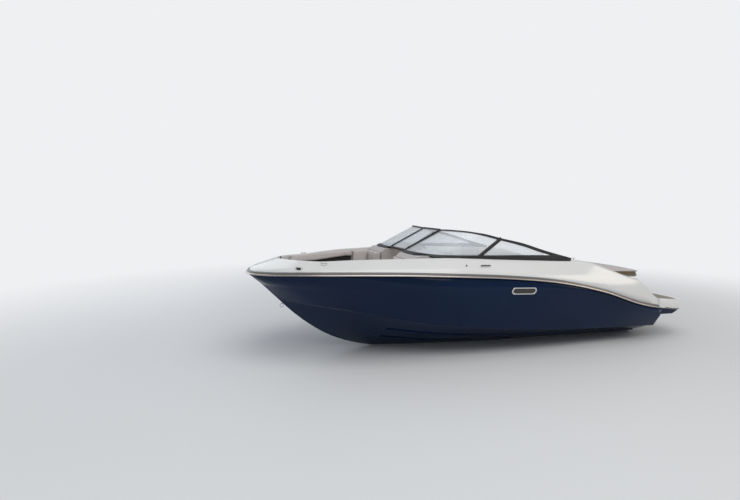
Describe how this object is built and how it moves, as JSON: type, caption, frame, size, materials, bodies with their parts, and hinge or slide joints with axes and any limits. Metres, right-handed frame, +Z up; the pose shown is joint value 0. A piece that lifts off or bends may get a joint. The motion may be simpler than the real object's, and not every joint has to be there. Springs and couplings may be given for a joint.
{
  "type": "open-bow speedboat",
  "caption": "Open-bow sport runabout with a hollow vee hull, raked wraparound windshield, bow seating, cockpit seats, sun pad and a steerable stern drive.",
  "frame": {"origin": "amidships on the centreline, on the waterline of the boat at rest", "axes": "+X forward to the bow, +Y to port, +Z up"},
  "size_m": [6.1157, 2.418, 2.0483],
  "materials": {
    "hull_gelcoat": "navy gelcoat",
    "deck_gelcoat": "white gelcoat",
    "rail": "white rub rail",
    "liner_gelcoat": "off-white gelcoat",
    "black_frame": "black powder coat",
    "tinted_glass": "light tint",
    "vinyl_light": "light grey marine vinyl",
    "vinyl_brown": "brown marine vinyl",
    "bare_aluminium": "satin",
    "wheel_black": "black",
    "engine_paint": "black paint",
    "drive_paint": "black paint",
    "lamp_lens": "dark smoked lens",
    "steel": "polished stainless steel",
    "steel_prop": "stainless steel"
  },
  "bodies": {
    "hull": {"hull_shell": "hull_gelcoat", "deck": "deck_gelcoat", "rub_rail": "rail", "swim_platform": "deck_gelcoat", "liner": "liner_gelcoat", "console_port": "liner_gelcoat", "console_starboard": "liner_gelcoat", "windshield_frame": "black_frame", "side_glass": "tinted_glass", "bow_cushions": "vinyl_light", "bow_pads": "vinyl_light", "bench_cushion": "vinyl_light", "bench_back": "vinyl_light", "seat_pedestals": "bare_aluminium", "helm_column": "wheel_black", "engine": "engine_paint", "gimbal_housing": "drive_paint", "cleats": "steel", "hull_vents": "steel", "bow_eye": "steel", "helm_panel": "wheel_black", "throttle_control": "wheel_black", "nav_lights": "lamp_lens", "stern_eyes": "steel"},
    "wheel": {"steering_wheel": "wheel_black"},
    "gate": {"gate_frame": "black_frame", "gate_glass": "tinted_glass"},
    "helm_seat_body": {"helm_seat": "vinyl_light"},
    "companion_seat_body": {"companion_seat": "vinyl_light"},
    "hatch": {"engine_hatch": "deck_gelcoat", "sun_pad": "vinyl_brown"},
    "drive_ring": {"gimbal_ring": "drive_paint"},
    "drive": {"drive_leg": "drive_paint"},
    "barrels": {"trim_barrels": "drive_paint"},
    "rods": {"trim_rods": "steel"},
    "prop": {"propeller": "steel_prop"}
  },
  "joints": [
    {"name": "drive_steer", "type": "hinge", "parent": "hull", "child": "drive_ring", "pos_m": [-2.64, 0, -0.02], "axis": [0, 0, 1], "range_deg": [-28, 28]},
    {"name": "drive_trim", "type": "hinge", "parent": "drive_ring", "child": "drive", "pos_m": [-2.64, 0, -0.02], "axis": [0, 1, 0], "range_deg": [-5, 45]},
    {"name": "trim_barrel_swing", "type": "hinge", "parent": "drive_ring", "child": "barrels", "pos_m": [-2.692, 0, -0.14], "axis": [0, 1, 0], "range_deg": [-6, 48]},
    {"name": "trim_rod_slide", "type": "slide", "parent": "barrels", "child": "rods", "axis": [-0.9987, 0, -0.0504], "range_m": [-0.014, 0.103]},
    {"name": "prop_spin", "type": "hinge", "parent": "drive", "child": "prop", "pos_m": [-3.02, 0, -0.57], "axis": [1, 0, 0], "continuous": true},
    {"name": "wheel_turn", "type": "hinge", "parent": "hull", "child": "wheel", "pos_m": [0.415, -0.48, 0.85], "axis": [-0.848, 0, 0.5299], "range_deg": [-650, 650]},
    {"name": "gate_swing", "type": "hinge", "parent": "hull", "child": "gate", "pos_m": [1.07675, 0.261, 0.96927], "axis": [-0.8762, 0, 0.4819], "range_deg": [0, 160]},
    {"name": "helm_seat_swivel", "type": "hinge", "parent": "hull", "child": "helm_seat_body", "pos_m": [-0.13, -0.48, 0.44], "axis": [0, 0, 1], "continuous": true},
    {"name": "companion_seat_swivel", "type": "hinge", "parent": "hull", "child": "companion_seat_body", "pos_m": [-0.13, 0.48, 0.44], "axis": [0, 0, 1], "continuous": true},
    {"name": "hatch_lift", "type": "hinge", "parent": "hull", "child": "hatch", "pos_m": [-1.55, 0, 0.632], "axis": [0, 1, 0], "range_deg": [0, 60]}
  ],
  "couplings": [
    {"joint": "trim_barrel_swing", "follows": "drive_trim", "ratio": 1.06},
    {"joint": "trim_rod_slide", "follows": "drive_trim", "m_per_rad": 0.126},
    {"joint": "wheel_turn", "follows": "drive_steer", "ratio": -22}
  ]
}
